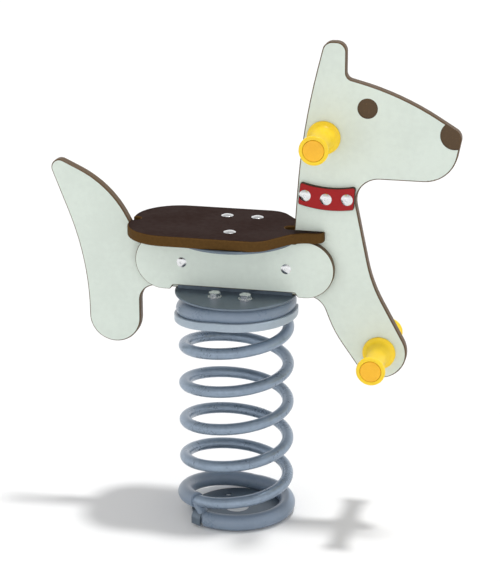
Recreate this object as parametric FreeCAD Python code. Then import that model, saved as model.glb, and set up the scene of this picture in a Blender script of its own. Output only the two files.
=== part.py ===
import FreeCAD, Part
import math
import os

# Playground spring rider: a flat dog silhouette on one coil spring that is bolted to the ground.
#
# Millimetres. The origin is on the ground, at the centre of the spring. +Z is up, +X points to
# the dog's nose and +Y to the dog's left, so the rider sits astride the silhouette facing +X.
# Angles along the spring wire, called turns here, are in degrees: 0 is at the dog's right (-Y),
# 90 at the nose end (+X), and they grow with height, so the spring is right-handed.

Vector = FreeCAD.Vector
ORIGIN = Vector(0, 0, 0)
UP = Vector(0, 0, 1)
ACROSS = Vector(0, 1, 0)

# ---- driving dimensions ------------------------------------------------------------------------

# Spring wire
WIRE_RADIUS = 10.0
COIL_RADIUS = 90.0           # wire centre to spring axis
COIL_PITCH = 68.9
ACTIVE_TURNS = 5.5
RISE_START = -188.0          # turn at which the wire leaves the flat bottom coil
FLAT_TURN = 211.0            # length of the flat coil at each end
SPRING_CUT = 360.0           # turn at which the bottom length of the flexing wire ends

# Moulded anti-pinch sleeve over each end of the wire
SLEEVE_WALL = 3.5
SLEEVE_SPAN = 345.0
BARE_TIP = 16.0              # turn left bare at the wire's tip, for the end strap
CUP_OUTER = 17.0             # reach of the top coil cup outside the wire's centre line
CUP_INNER = 12.0
CUP_DEPTH = 24.0
CUP_LIP = 9.0
CUP_BEFORE = 92.0            # the cup runs this far down the coil from the flat coil's start
CUP_AFTER = 113.0            # and this far along the flat coil
CUP_BAYS = 5                 # moulded in this many bays along the rising part

# Spring end plates and their straps
PLATE_THICKNESS = 4.0
PLATE_HOLE_RADIUS = 22.0
STRAP_THICKNESS = 3.0
STRAP_WIDTH = 20.0
STRAP_FOOT = 20.0
STRAP_BOLT_RADIUS = 3.0
STRAP_GAP = 0.9              # straight strap round the curved wire

# Hub brackets: a disc with one upright plate, the same piece above and below
DISC_RADIUS = 105.5
LOWER_DISC_THICKNESS = 4.0
UPPER_DISC_THICKNESS = 4.0
HUB_CLEAR_HEIGHT = 95.0      # between the two discs
UPRIGHT_THICKNESS = 4.0
UPRIGHT_HALF_LENGTH = 100.0
UPRIGHT_GAP = 4.0            # upright's free edge to the other disc
PAIR_SPACING = 53.0          # the pair of the three bolts
BOLT_OFFSET = 48.5           # from the middle, the pair to one side and the single to the other

# Boards
BOARD_THICKNESS = 19.0
BOARD_ROUNDING = 3.0
SIDE_THICKNESS = 12.0
SIDE_ROUNDING = 2.0
SIDE_HALF_LENGTH = 173.0
SIDE_FOOT_GAP = 8.0          # side panel's notch above the lower disc
SEAT_THICKNESS = 18.0
SEAT_HALF_WIDTH = 98.5
SEAT_REAR = -183.0
SEAT_FRONT = 155.0
SEAT_FRONT_SLOT = 85.0       # end of the fork's slot
PRONG_WIDTH = 16.75          # of each prong at the front end
REAR_SLOT_STRAIGHT = 4.75    # of the rear slot, before its round end
COLLAR_THICKNESS = 8.0

# Dog silhouette: points are (along X, above the top of the lower hub disc)
HIND_FOOT = (-215.0, -61.0)
FORE_FOOT = (251.0, -92.0)
FOOT_RADIUS = 46.0
JAW_RISE = 211.0
EAR_TIP_RISE = 438.0
EAR_FRONT_X = 186.5
EYE = (223.0, 330.0)
EYE_RADIUS = 17.0
NOSE = (367.0, 292.0)
NOSE_RADIUS = 24.0
POCKET_DEPTH = 1.6           # eye and nose are milled through the pale skin

# Handles and footrests; the footrests sit at the middle of the fore foot
HANDLE = (151.0, 278.0)
GRIP_LENGTH = 95.0
GRIP_RADIUS = 16.5
GRIP_FLANGE_RADIUS = 28.5
GRIP_END_RADIUS = 24.5
GRIP_CAP_RADIUS = 17.5
GRIP_ROD_RADIUS = 6.0
GRIP_CAP_DEPTH = 9.0

# Fasteners
M12 = 6.0
M10 = 5.0
M8 = 4.0
COLLAR_BOLTS = ((121.5, 179.0), (157.0, 174.5), (192.5, 175.5))
SIDE_BOLT_X = 91.0

# Fits
HOLE_CLEARANCE = 0.5         # hole radius over shank radius
MOULDING_GAP = 0.5           # round the wire, and round the sleeve in its cup
SLOT_CLEARANCE = 0.75        # each side of the silhouette in the seat's slots
POCKET_CLEARANCE = 0.4       # side panel's channel round the upright
THREAD_GAP = 0.05            # thread, drawn plain

# ---- heights that follow from them --------------------------------------------------------------

SLEEVE_RADIUS = WIRE_RADIUS + MOULDING_GAP + SLEEVE_WALL
COIL_LOW = SLEEVE_RADIUS
COIL_HIGH = COIL_LOW + COIL_PITCH * ACTIVE_TURNS
RISE_END = RISE_START + 360 * ACTIVE_TURNS
WIRE_START = RISE_START - FLAT_TURN
WIRE_END = RISE_END + FLAT_TURN
SPRING_TOP = COIL_HIGH + SLEEVE_RADIUS
LOWER_DISC_TOP = SPRING_TOP + LOWER_DISC_THICKNESS
UPPER_DISC_UNDER = LOWER_DISC_TOP + HUB_CLEAR_HEIGHT
SEAT_UNDER = UPPER_DISC_UNDER + UPPER_DISC_THICKNESS
SEAT_TOP = SEAT_UNDER + SEAT_THICKNESS
SIDE_MIDDLE = (LOWER_DISC_TOP + SEAT_UNDER) / 2
SIDE_HALF_HEIGHT = (SEAT_UNDER - LOWER_DISC_TOP) / 2
HALF_BOARD = BOARD_THICKNESS / 2
SIDE_FACE = HALF_BOARD + SIDE_THICKNESS
DISC_NOTCH = DISC_RADIUS + 1.5


# ---- drawing helpers ----------------------------------------------------------------------------

def side_view(y):
    """Places a drawn point (along, up) on the upright plane at y."""
    return lambda a, b: Vector(a, y, b)


def plan_view(z):
    """Places a drawn point (along, across) on the level plane at z."""
    return lambda a, b: Vector(a, b, z)


def rounded_wire(corners, place):
    """Closed outline through (a, b, radius) corners, each replaced by its tangent arc."""
    points = [FreeCAD.Vector(a, b, 0) for a, b, _ in corners]
    stretches = []
    for i, (_, _, radius) in enumerate(corners):
        here = points[i]
        back = (points[i - 1] - here).normalize()
        ahead = (points[(i + 1) % len(points)] - here).normalize()
        if radius == 0:
            stretches.append((here, None, here))
            continue
        half = back.getAngle(ahead) / 2
        reach = radius / math.tan(half)
        centre = here + (back + ahead).normalize() * (radius / math.sin(half))
        nearest = centre + (here - centre).normalize() * radius
        stretches.append((here + back * reach, nearest, here + ahead * reach))
    edges = []
    for i, (start, middle, end) in enumerate(stretches):
        before = stretches[i - 1][2]
        if (start - before).Length > 1e-6:
            edges.append(Part.makeLine(place(before.x, before.y), place(start.x, start.y)))
        if middle is not None:
            arc = (place(start.x, start.y), place(middle.x, middle.y), place(end.x, end.y))
            edges.append(Part.Arc(*arc).toShape())
    return Part.Wire(edges)


def raised(*points):
    """Points drawn as (along X, above the lower disc), as (along X, above the ground)."""
    return [(x, LOWER_DISC_TOP + rise) for x, rise in points]


def slab(wire, travel):
    """Solid of a closed wire pushed along a vector."""
    return Part.Face(wire).extrude(travel)


def rod(radius, start, travel):
    """Round bar from a point along a vector."""
    return Part.makeCylinder(radius, travel.Length, start, travel)


def hexagon(flats, start, travel):
    """Hexagonal bar with the given size across its flats."""
    corners = [Vector(math.cos(math.radians(60 * i)), math.sin(math.radians(60 * i)), 0) for i in range(7)]
    wire = Part.makePolygon([c * (flats / math.sqrt(3)) for c in corners])
    bar = slab(wire, UP * travel.Length)
    bar.Placement = FreeCAD.Placement(start, FreeCAD.Rotation(UP, travel))
    return bar


def dome(radius, height, start, outward):
    """Low domed cap on a flat face."""
    ball = (radius ** 2 + height ** 2) / (2 * height)
    side = Vector(1, 0, 0)
    lean = math.asin(radius / ball) / 2
    middle = start - outward * (ball - height) + (side * math.sin(lean) + outward * math.cos(lean)) * ball
    edges = [Part.makeLine(start, start + side * radius),
             Part.Arc(start + side * radius, middle, start + outward * height).toShape(),
             Part.makeLine(start + outward * height, start)]
    return Part.Face(Part.Wire(edges)).revolve(start, outward, 360)


def edges_on(solid, axis, *levels):
    """Edges that lie wholly in one of the planes at these levels of an axis, 0 to 2 for X to Z."""
    found = []
    for edge in solid.Edges:
        box = edge.BoundBox
        low, high = ((box.XMin, box.XMax), (box.YMin, box.YMax), (box.ZMin, box.ZMax))[axis]
        if any(abs(low - v) < 1e-4 and abs(high - v) < 1e-4 for v in levels):
            found.append(edge)
    return found


def mirrored(shape):
    """The same piece on the dog's other side."""
    return shape.mirror(ORIGIN, ACROSS)


def write(node, *solids):
    """Exports one node, made of one or more separate solids."""
    shape = solids[0] if len(solids) == 1 else Part.makeCompound(list(solids))
    for solid in shape.Solids:
        assert solid.isValid(), node
    shape.exportStep(f"parts/{node}.step")


# ---- spring -------------------------------------------------------------------------------------

def wire_height(turn):
    """Height of the wire's centre: level at both ends, steady pitch between them."""
    return COIL_LOW + COIL_PITCH / 360 * (min(max(turn, RISE_START), RISE_END) - RISE_START)


def outward(turn):
    """Unit vector from the spring's axis to the wire at this turn."""
    angle = math.radians(turn - 90)
    return Vector(math.cos(angle), math.sin(angle), 0)


def section(corners):
    """Closed outline round the wire's centre at turn 0, from (out, up) points, a middle one marking an arc."""
    points = [Vector(0, -COIL_RADIUS - u, w) for u, w in corners]
    edges = [Part.makeLine(p, q) for p, q in zip(points, points[1:-1])]
    return Part.Wire(edges + [Part.Arc(points[-2], points[-1], points[0]).toShape()])


def ring(radius):
    """Circle round the wire's centre at turn 0."""
    return Part.Wire(Part.makeCircle(radius, Vector(0, -COIL_RADIUS, 0), Vector(1, 0, 0)))


def along_wire(outer, first, last, inner=None, joints=()):
    """Carries a section along the wire: level stretches are turned, rising ones are swept."""
    marks = [first] + sorted(m for m in (RISE_START, RISE_END, *joints) if first < m < last) + [last]
    pieces = []
    for a, b in zip(marks, marks[1:]):
        stretch = []
        for outline in (outer, inner) if inner else (outer,):
            drawn = outline.copy()
            drawn.rotate(ORIGIN, UP, a)
            drawn.translate(UP * wire_height(a))
            if RISE_START <= (a + b) / 2 <= RISE_END:
                path = Part.makeHelix(COIL_PITCH, COIL_PITCH * (b - a) / 360, COIL_RADIUS)
                path.rotate(ORIGIN, UP, a - 90)
                path.translate(UP * wire_height(a))
                stretch.append(Part.Wire(path.Edges).makePipeShell([drawn], True, True))
            else:
                stretch.append(Part.Face(drawn).revolve(ORIGIN, UP, b - a))
        pieces.append(stretch[0].cut(stretch[1]) if inner else stretch[0])
    whole = pieces[0] if len(pieces) == 1 else pieces[0].fuse(pieces[1:])
    return whole.Solids[0]


def turned_over(shape):
    """The same shape at the spring's other end; the wire looks the same from both."""
    half_way = UP * ((COIL_LOW + COIL_HIGH) / 2)
    shape.rotate(half_way, outward((RISE_START + RISE_END) / 2), 180)
    return shape


def spring():
    """The wire from the ground up, in four lengths that meet where the flexing bodies do."""
    marks = (WIRE_START, SPRING_CUT, (RISE_START + RISE_END) / 2)
    lower = [along_wire(ring(WIRE_RADIUS), a, b) for a, b in zip(marks, marks[1:])]
    return lower + [turned_over(length.copy()) for length in reversed(lower)]


def sleeve():
    """Moulded tube over the bottom of the wire."""
    first = WIRE_START + BARE_TIP
    return along_wire(ring(SLEEVE_RADIUS), first, first + SLEEVE_SPAN, ring(WIRE_RADIUS + MOULDING_GAP))


def coil_cup():
    """Cup over the bottom coil, from the tail end round to the nose end."""
    seat = SLEEVE_RADIUS + MOULDING_GAP
    inner = math.sqrt(seat ** 2 - CUP_INNER ** 2)
    lip = math.sqrt(seat ** 2 - CUP_LIP ** 2)
    outline = section([(-CUP_INNER, inner), (-CUP_INNER, CUP_DEPTH), (CUP_OUTER - 3, CUP_DEPTH),
                       (CUP_OUTER, CUP_DEPTH - 3), (CUP_OUTER, CUP_LIP), (lip, CUP_LIP), (0, seat)])
    ribs = [RISE_START + CUP_BEFORE * i / CUP_BAYS for i in range(1, CUP_BAYS)]
    return along_wire(outline, RISE_START - CUP_AFTER, RISE_START + CUP_BEFORE, joints=ribs)


def bolt_places(pair_side):
    """The three bolts of every disc: a pair on one side, at -1 or 1 along Y, and a single opposite."""
    half = PAIR_SPACING / 2
    return [(-half, pair_side * BOLT_OFFSET), (half, pair_side * BOLT_OFFSET), (0, -pair_side * BOLT_OFFSET)]


def end_plate(under, pair_side, strap_turn):
    """Round plate inside the last coil, level with the sleeve's outer face."""
    drop = SLEEVE_RADIUS - PLATE_THICKNESS
    radius = COIL_RADIUS - math.sqrt(SLEEVE_RADIUS ** 2 - drop ** 2) - MOULDING_GAP
    through = UP * PLATE_THICKNESS
    holes = [rod(PLATE_HOLE_RADIUS, UP * under, through)]
    holes += [rod(M12 + HOLE_CLEARANCE, Vector(x, y, under), through) for x, y in bolt_places(pair_side)]
    holes.append(rod(STRAP_BOLT_RADIUS + THREAD_GAP, strap_bolt_place(strap_turn) + UP * under, through))
    return rod(radius, UP * under, through).cut(holes)


def strap_bolt_place(turn):
    """Plan position of the bolt in a strap's foot."""
    return outward(turn) * (COIL_RADIUS - WIRE_RADIUS - STRAP_GAP - (STRAP_THICKNESS + STRAP_FOOT) / 2)


def end_strap(turn, side):
    """Bent strap over the wire's tip, from a foot on the end plate. side is 1 at the bottom, -1 on top."""
    level = COIL_LOW if side > 0 else COIL_HIGH
    plate_face = level - side * (SLEEVE_RADIUS - PLATE_THICKNESS)
    out, along = outward(turn), outward(turn).cross(UP)
    inner = WIRE_RADIUS + STRAP_GAP
    outer = inner + STRAP_THICKNESS

    def bar(radius, far):
        """A block rounded over the wire, from the plate's face."""
        corners = [out * (COIL_RADIUS - radius) + UP * plate_face,
                   out * (COIL_RADIUS + radius) + UP * plate_face,
                   out * (COIL_RADIUS + radius) + UP * level,
                   out * (COIL_RADIUS - radius) + UP * level]
        top = out * COIL_RADIUS + UP * (level + side * radius)
        edges = [Part.makeLine(corners[3], corners[0]), Part.makeLine(corners[0], corners[1]),
                 Part.makeLine(corners[1], corners[2]), Part.Arc(corners[2], top, corners[3]).toShape()]
        block = slab(Part.Wire(edges), along * far)
        block.translate(along * (-far / 2))
        return block
    hoop = bar(outer, STRAP_WIDTH).cut(bar(inner, STRAP_WIDTH + 2))
    foot = Part.makeBox(STRAP_FOOT, STRAP_WIDTH, STRAP_THICKNESS, Vector(-STRAP_FOOT, -STRAP_WIDTH / 2, 0))
    if side < 0:
        foot.translate(UP * -STRAP_THICKNESS)
    foot.rotate(ORIGIN, UP, turn - 90)
    foot.translate(out * (COIL_RADIUS - inner) + UP * plate_face)
    hole = rod(STRAP_BOLT_RADIUS + HOLE_CLEARANCE, strap_bolt_place(turn) + UP * (plate_face - 10), UP * 20)
    return hoop.fuse(foot).removeSplitter().cut(hole).Solids[0]


def strap_screw(turn, plate_back, side):
    """Hexagon screw through the strap's foot into the plate. side is 1 when its head is upward."""
    grip = PLATE_THICKNESS + STRAP_THICKNESS
    place = strap_bolt_place(turn) + UP * plate_back
    head = hexagon(STRAP_BOLT_RADIUS * 3.3, place + UP * side * grip, UP * side * STRAP_BOLT_RADIUS * 1.3)
    return head.fuse(rod(STRAP_BOLT_RADIUS, place, UP * side * grip)).removeSplitter().Solids[0]


# ---- hub ----------------------------------------------------------------------------------------

def hub_bracket(thickness, bolt_height):
    """Disc with one upright plate, drawn as the lower one: disc top at z 0, upright and pair at -Y."""
    disc = rod(DISC_RADIUS, UP * -thickness, UP * thickness)
    disc = disc.makeFillet(1.2, edges_on(disc, 2, 0.0, -thickness))
    height = HUB_CLEAR_HEIGHT - UPRIGHT_GAP
    length = UPRIGHT_HALF_LENGTH
    corners = [(-length, 0, 0), (length, 0, 0), (length, height, 12), (-length, height, 12)]
    upright = slab(rounded_wire(corners, side_view(-HALF_BOARD)), ACROSS * -UPRIGHT_THICKNESS)
    holes = [rod(M10 + HOLE_CLEARANCE, Vector(x, -HALF_BOARD, bolt_height), ACROSS * -UPRIGHT_THICKNESS)
             for x in (-SIDE_BOLT_X, SIDE_BOLT_X)]
    holes += [rod(M12 + HOLE_CLEARANCE, Vector(x, y, -thickness), UP * thickness)
              for x, y in bolt_places(-1)]
    return disc.fuse(upright).cut(holes).Solids[0]


def hub_brackets():
    """The lower bracket, and one like it turned over about X on top of the boards."""
    lower = hub_bracket(LOWER_DISC_THICKNESS, SIDE_MIDDLE - LOWER_DISC_TOP)
    lower.translate(UP * LOWER_DISC_TOP)
    upper = hub_bracket(UPPER_DISC_THICKNESS, UPPER_DISC_UNDER - SIDE_MIDDLE)
    upper.rotate(ORIGIN, Vector(1, 0, 0), 180)
    upper.translate(UP * UPPER_DISC_UNDER)
    return lower, upper


def hex_bolt(x, y, head_under, shank, radius):
    """Hexagon bolt, head up, with its washer as a second solid."""
    washer = rod(radius * 2, Vector(x, y, head_under), UP * 2.0)
    washer = washer.cut(rod(radius + HOLE_CLEARANCE, Vector(x, y, head_under), UP * 2.0))
    head = hexagon(radius * 3.0, Vector(x, y, head_under + 2.0), UP * radius * 1.2)
    stem = rod(radius, Vector(x, y, head_under - shank), UP * (shank + 2.0))
    return head.fuse(stem).removeSplitter().Solids[0], washer


def hex_nut(x, y, top, radius):
    """Plain nut hanging under a plate."""
    nut = hexagon(radius * 3.0, Vector(x, y, top - radius * 1.6), UP * radius * 1.6)
    return nut.cut(rod(radius + THREAD_GAP, Vector(x, y, top - radius * 1.6), UP * radius * 1.6))


# ---- boards -------------------------------------------------------------------------------------

def foot_corners(centre, radius, before, after):
    """Two rounded corners that together wrap a round foot, tangent to the edges from and to two points."""
    x, z = centre
    heading_in = math.atan2(z - before[1], x - before[0]) - math.asin(radius / math.dist(centre, before))
    heading_out = math.atan2(after[1] - z, after[0] - x) + math.asin(radius / math.dist(centre, after))
    middle = (heading_in + heading_out) / 2
    reach = radius * math.tan((heading_out - heading_in) / 4)
    lowest = (x + radius * math.sin(middle), z - radius * math.cos(middle))
    step = (reach * math.cos(middle), reach * math.sin(middle))
    return [(lowest[0] + way * step[0], lowest[1] + way * step[1], radius) for way in (-1, 1)]


def dog_outline():
    """Corners of the silhouette, starting under the belly and going round by the nose and the tail."""
    knee, chest = (172.6, -61.0), (236.0, 30.0)
    hock, belly = (HIND_FOOT[0] - FOOT_RADIUS, 37.8), (HIND_FOOT[0] + FOOT_RADIUS, 0.0)
    corners = [
        (148.0, 0.0, 35.0),                            # belly to foreleg
        (*knee, 200.0),
        *foot_corners(FORE_FOOT, FOOT_RADIUS, knee, chest),
        (*chest, 250.0),
        (197.0, JAW_RISE, 39.0),                       # throat
        (364.0, JAW_RISE, 56.0),                       # chin
        (380.0, 294.0, 18.0),                          # tip of the nose
        (278.0, 356.0, 480.0),                         # forehead
        (EAR_FRONT_X, 378.5, 12.0),                    # brow
        (EAR_FRONT_X, EAR_TIP_RISE, 17.0),             # ear
        (EAR_FRONT_X - 36.8, EAR_TIP_RISE, 17.0),
        (113.0, 289.0, 1200.0),                        # nape
        (101.0, HUB_CLEAR_HEIGHT, 5.0),                # foot of the neck
        (-176.0, HUB_CLEAR_HEIGHT, 5.0),               # rump
        (-217.4, 174.8, 182.0),                        # upper edge of the tail
        (-335.8, 230.0, 15.0),                         # tip of the tail
        (*hock, 500.0),
        *foot_corners(HIND_FOOT, FOOT_RADIUS, hock, belly),
        (*belly, 28.0),
    ]
    return [(x, LOWER_DISC_TOP + rise, radius) for x, rise, radius in corners]


def dog_board():
    """The silhouette, with rounded edges, eye and nose pockets, and its bolt holes."""
    board = slab(rounded_wire(dog_outline(), side_view(-HALF_BOARD)), ACROSS * BOARD_THICKNESS)
    board = board.makeFillet(BOARD_ROUNDING, edges_on(board, 1, -HALF_BOARD, HALF_BOARD))
    through = ACROSS * BOARD_THICKNESS
    notch = Vector(-DISC_NOTCH, -HALF_BOARD, UPPER_DISC_UNDER)
    cuts = [Part.makeBox(2 * DISC_NOTCH, BOARD_THICKNESS, UPPER_DISC_THICKNESS, notch)]
    for side in (-1, 1):
        for (x, z), radius in zip(raised(EYE, NOSE), (EYE_RADIUS, NOSE_RADIUS)):
            cuts.append(rod(radius, Vector(x, side * (HALF_BOARD - POCKET_DEPTH), z), ACROSS * side * 10))
    cuts += [rod(M10 + HOLE_CLEARANCE, Vector(x, -HALF_BOARD, SIDE_MIDDLE), through)
             for x in (-SIDE_BOLT_X, SIDE_BOLT_X)]
    cuts += [rod(M8 + HOLE_CLEARANCE, Vector(x, -HALF_BOARD, z), through)
             for x, z in raised(*COLLAR_BOLTS)]
    cuts += [rod(GRIP_ROD_RADIUS + HOLE_CLEARANCE, Vector(x, -HALF_BOARD, z), through)
             for x, z in raised(HANDLE, FORE_FOOT)]
    return board.cut(cuts).Solids[0]


def side_panel():
    """Pill-shaped panel on the dog's right: notched at both discs, hollowed inside for the uprights."""
    low, high = LOWER_DISC_TOP, SEAT_UNDER
    end, shoulder, notch = SIDE_HALF_LENGTH, DISC_NOTCH + 4.5, DISC_NOTCH
    corners = [(-shoulder, low, 5), (-notch, low + SIDE_FOOT_GAP, 5), (notch, low + SIDE_FOOT_GAP, 5),
               (shoulder, low, 5), (end, low, SIDE_HALF_HEIGHT), (end, high, SIDE_HALF_HEIGHT),
               (shoulder, high, 3.5), (notch, UPPER_DISC_UNDER, 3.5), (-notch, UPPER_DISC_UNDER, 3.5),
               (-shoulder, high, 3.5), (-end, high, SIDE_HALF_HEIGHT), (-end, low, SIDE_HALF_HEIGHT)]
    panel = slab(rounded_wire(corners, side_view(-HALF_BOARD)), ACROSS * -SIDE_THICKNESS)
    panel = panel.makeFillet(SIDE_ROUNDING, edges_on(panel, 1, -SIDE_FACE))
    reach = UPRIGHT_HALF_LENGTH + POCKET_CLEARANCE
    depth = UPRIGHT_THICKNESS + POCKET_CLEARANCE
    channel = Part.makeBox(2 * reach, depth, high - low, Vector(-reach, -HALF_BOARD - depth, low))
    holes = [rod(M10 + HOLE_CLEARANCE, Vector(x, -HALF_BOARD, SIDE_MIDDLE), ACROSS * -SIDE_THICKNESS)
             for x in (-SIDE_BOLT_X, SIDE_BOLT_X)]
    return panel.cut([channel] + holes).Solids[0]


def seat_outline():
    """Corners of the seat: broad and round behind, a two-pronged fork in front."""
    fork = HALF_BOARD + SLOT_CLEARANCE + PRONG_WIDTH
    right = [(SEAT_REAR, -SEAT_HALF_WIDTH, 78.0), (62.0, -SEAT_HALF_WIDTH, 42.0),
             (110.0, -fork - 5.0, 45.0), (SEAT_FRONT, -fork, 14.0)]
    return right + [(x, -y, radius) for x, y, radius in reversed(right)]


def seat_board():
    """Seat, slotted at both ends for the silhouette and drilled for its three bolts."""
    seat = slab(rounded_wire(seat_outline(), plan_view(SEAT_UNDER)), UP * SEAT_THICKNESS)
    half = HALF_BOARD + SLOT_CLEARANCE
    cuts = []
    for end, direction in ((SEAT_FRONT_SLOT, 1), (SEAT_REAR + half + REAR_SLOT_STRAIGHT, -1)):
        reach = abs(SEAT_REAR) * 2 * direction
        corners = [(end, -half, half), (end + reach, -half, 0), (end + reach, half, 0), (end, half, half)]
        cuts.append(slab(rounded_wire(corners, plan_view(SEAT_UNDER)), UP * SEAT_THICKNESS))
    seat = seat.cut(cuts).Solids[0]
    seat = seat.makeFillet(BOARD_ROUNDING, edges_on(seat, 2, SEAT_UNDER, SEAT_TOP))
    holes = [rod(M10 + HOLE_CLEARANCE, Vector(x, y, SEAT_UNDER), UP * SEAT_THICKNESS)
             for x, y in bolt_places(1)]
    return seat.cut(holes).Solids[0]


def collar():
    """Red plate across the right of the neck, with curved upper and lower edges."""
    y = -HALF_BOARD
    upper = [Vector(x, y, z) for x, z in raised((113.5, 202.0), (163.0, 193.5), (206.5, 198.0))]
    lower = [Vector(x, y, z) for x, z in raised((204.0, 158.5), (158.0, 155.5), (109.5, 164.0))]
    edges = [Part.Arc(*upper).toShape(), Part.makeLine(upper[2], lower[0]),
             Part.Arc(*lower).toShape(), Part.makeLine(lower[2], upper[0])]
    plate = slab(Part.Wire(edges), ACROSS * -COLLAR_THICKNESS)
    upright = [e for e in plate.Edges if e.BoundBox.YLength > COLLAR_THICKNESS / 2]
    plate = plate.makeFillet(4.0, upright)
    plate = plate.makeFillet(1.5, edges_on(plate, 1, y - COLLAR_THICKNESS))
    holes = [rod(M8 + HOLE_CLEARANCE, Vector(x, y, z), ACROSS * -COLLAR_THICKNESS)
             for x, z in raised(*COLLAR_BOLTS)]
    return plate.cut(holes).Solids[0]


# ---- bolts across the silhouette ----------------------------------------------------------------

def cross_bolt(x, z, face, radius, head_radius, head_height):
    """Domed bolt from the right face, screwed into a domed sleeve nut on the left face."""
    head = dome(head_radius, head_height, Vector(x, -face, z), -ACROSS)
    recess = rod(radius * 0.5, Vector(x, -face - head_height * 0.35, z), ACROSS * -head_height)
    bolt = head.cut(recess).fuse(rod(radius, Vector(x, -face, z), ACROSS * 2 * (face - 3)))
    cap = dome(head_radius, head_height, Vector(x, face, z), ACROSS)
    nut_recess = rod(radius * 0.5, Vector(x, face + head_height * 0.35, z), ACROSS * head_height)
    nut = cap.cut(nut_recess)
    return bolt.Solids[0], nut.Solids[0]


def grip():
    """Spool-shaped handle on the right, drawn round the origin: broad foot, narrow grip, round end."""
    profile = [
        (GRIP_ROD_RADIUS + HOLE_CLEARANCE, 0.0), (GRIP_FLANGE_RADIUS - 2.0, 0.0),
        (GRIP_FLANGE_RADIUS, 2.0), (GRIP_FLANGE_RADIUS, 4.0),
        (GRIP_RADIUS, 20.0), (GRIP_RADIUS, GRIP_LENGTH - 18.0),
        (GRIP_END_RADIUS, GRIP_LENGTH - 6.0), (GRIP_END_RADIUS, GRIP_LENGTH - 2.0),
        (GRIP_END_RADIUS - 2.0, GRIP_LENGTH), (GRIP_CAP_RADIUS + MOULDING_GAP, GRIP_LENGTH),
        (GRIP_CAP_RADIUS + MOULDING_GAP, GRIP_LENGTH - GRIP_CAP_DEPTH),
        (GRIP_ROD_RADIUS + HOLE_CLEARANCE, GRIP_LENGTH - GRIP_CAP_DEPTH),
    ]
    points = [Vector(r, -d, 0) for r, d in profile]
    flare = {3: Vector(GRIP_RADIUS + 2.6, -8.2, 0), 5: Vector(GRIP_RADIUS + 1.8, -(GRIP_LENGTH - 9.8), 0)}
    edges = []
    for i, start in enumerate(points):
        end = points[(i + 1) % len(points)]
        if i in flare:
            edges.append(Part.Arc(start, flare[i], end).toShape())
        else:
            edges.append(Part.makeLine(start, end))
    return Part.Face(Part.Wire(edges)).revolve(ORIGIN, ACROSS, 360)


def grip_set(name, x, z):
    """A pair of grips, the bar that ties them through the silhouette, and their two caps."""
    right = grip()
    right.translate(Vector(x, -HALF_BOARD, z))
    reach = HALF_BOARD + GRIP_LENGTH - GRIP_CAP_DEPTH
    bar = rod(GRIP_ROD_RADIUS, Vector(x, -reach, z), ACROSS * 2 * reach)
    cap = rod(GRIP_CAP_RADIUS, Vector(x, -reach, z), ACROSS * -(GRIP_CAP_DEPTH + 0.8))
    cap = cap.makeFillet(0.7, edges_on(cap, 1, -(reach + GRIP_CAP_DEPTH + 0.8)))
    write(f"right_{name}", right)
    write(f"left_{name}", mirrored(right))
    write(f"{name}_tie_bar", bar)
    write(f"{name}_caps", cap, mirrored(cap))


# ---- assembly -----------------------------------------------------------------------------------

def build_spring_unit():
    """Spring, sleeves, end plates, straps and cup."""
    names = ("spring_bottom_coil", "spring_lower_coils", "spring_upper_coils", "spring_top_coil")
    for name, length in zip(names, spring()):
        write(name, length)
    write("bottom_sleeve", sleeve())
    write("top_sleeve", turned_over(sleeve()))
    write("top_coil_cup", turned_over(coil_cup()))
    bottom_tip, top_tip = WIRE_START + BARE_TIP / 2, WIRE_END - BARE_TIP / 2
    write("base_plate", end_plate(0, 1, bottom_tip))
    write("top_plate", end_plate(SPRING_TOP - PLATE_THICKNESS, -1, top_tip))
    write("bottom_end_strap", end_strap(bottom_tip, 1))
    write("top_end_strap", end_strap(top_tip, -1))
    write("bottom_strap_screw", strap_screw(bottom_tip, 0, 1))
    write("top_strap_screw", strap_screw(top_tip, SPRING_TOP, -1))


def build_hub():
    """The two brackets and the bolts that hold the lower one to the spring."""
    lower, upper = hub_brackets()
    write("lower_hub_bracket", lower)
    write("upper_hub_bracket", upper)
    shank = LOWER_DISC_THICKNESS + PLATE_THICKNESS + 14.0
    bolts = [hex_bolt(x, y, LOWER_DISC_TOP, shank, M12) for x, y in bolt_places(-1)]
    write("hub_bolts", *[bolt for bolt, _ in bolts])
    write("hub_washers", *[washer for _, washer in bolts])
    write("hub_nuts", *[hex_nut(x, y, SPRING_TOP - PLATE_THICKNESS, M12) for x, y in bolt_places(-1)])


def build_rider():
    """Boards, collars, seat, their fasteners, handles and footrests."""
    write("dog_board", dog_board())
    for name, piece in (("side_panel", side_panel()), ("collar", collar())):
        write(f"right_{name}", piece)
        write(f"left_{name}", mirrored(piece))
    write("seat_board", seat_board())
    seat_bolts, seat_nuts = [], []
    for x, y in bolt_places(1):
        head = dome(10.5, 3.0, Vector(x, y, SEAT_TOP), UP)
        stem = rod(M10, Vector(x, y, UPPER_DISC_UNDER - 7.0), UP * (SEAT_TOP - UPPER_DISC_UNDER + 7.0))
        seat_bolts.append(head.fuse(stem).Solids[0])
        seat_nuts.append(cap_nut(x, y, UPPER_DISC_UNDER, M10))
    write("seat_bolts", *seat_bolts)
    write("seat_cap_nuts", *seat_nuts)
    side = [cross_bolt(x, SIDE_MIDDLE, SIDE_FACE, M10, 8.8, 3.4) for x in (-SIDE_BOLT_X, SIDE_BOLT_X)]
    write("side_bolts", *[bolt for bolt, _ in side])
    write("side_cap_nuts", *[nut for _, nut in side])
    neck = [cross_bolt(x, z, HALF_BOARD + COLLAR_THICKNESS, M8, 10.0, 4.0)
            for x, z in raised(*COLLAR_BOLTS)]
    write("collar_bolts", *[bolt for bolt, _ in neck])
    write("collar_cap_nuts", *[nut for _, nut in neck])
    for name, (x, z) in zip(("handle", "footrest"), raised(HANDLE, FORE_FOOT)):
        grip_set(name, x, z)


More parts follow.
